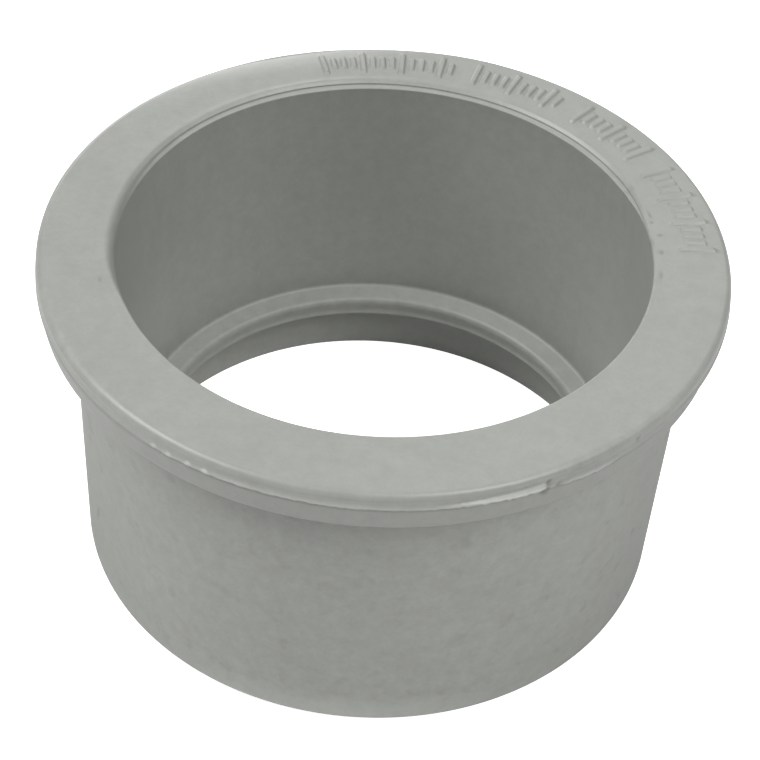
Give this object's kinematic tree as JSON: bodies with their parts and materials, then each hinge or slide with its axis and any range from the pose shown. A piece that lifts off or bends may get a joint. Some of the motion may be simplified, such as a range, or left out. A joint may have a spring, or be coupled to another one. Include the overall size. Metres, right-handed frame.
{
  "type": "reducing coupling",
  "caption": "Flanged reducing coupling for solvent-weld waste pipe: outer spigot, inner socket and an internal pipe stop.",
  "frame": {"origin": "centre of the spigot's end face, which the part stands on", "axes": "+Z along the common axis of spigot and socket, from the spigot end up to the flanged socket mouth; X and Y are equal, because the part is turned about +Z"},
  "size_m": [0.0478, 0.0478, 0.0252],
  "materials": {
    "grey_upvc": "satin light-grey rigid PVC, as moulded"
  },
  "bodies": {
    "root": {"coupling_body": "grey_upvc"}
  },
  "joints": []
}
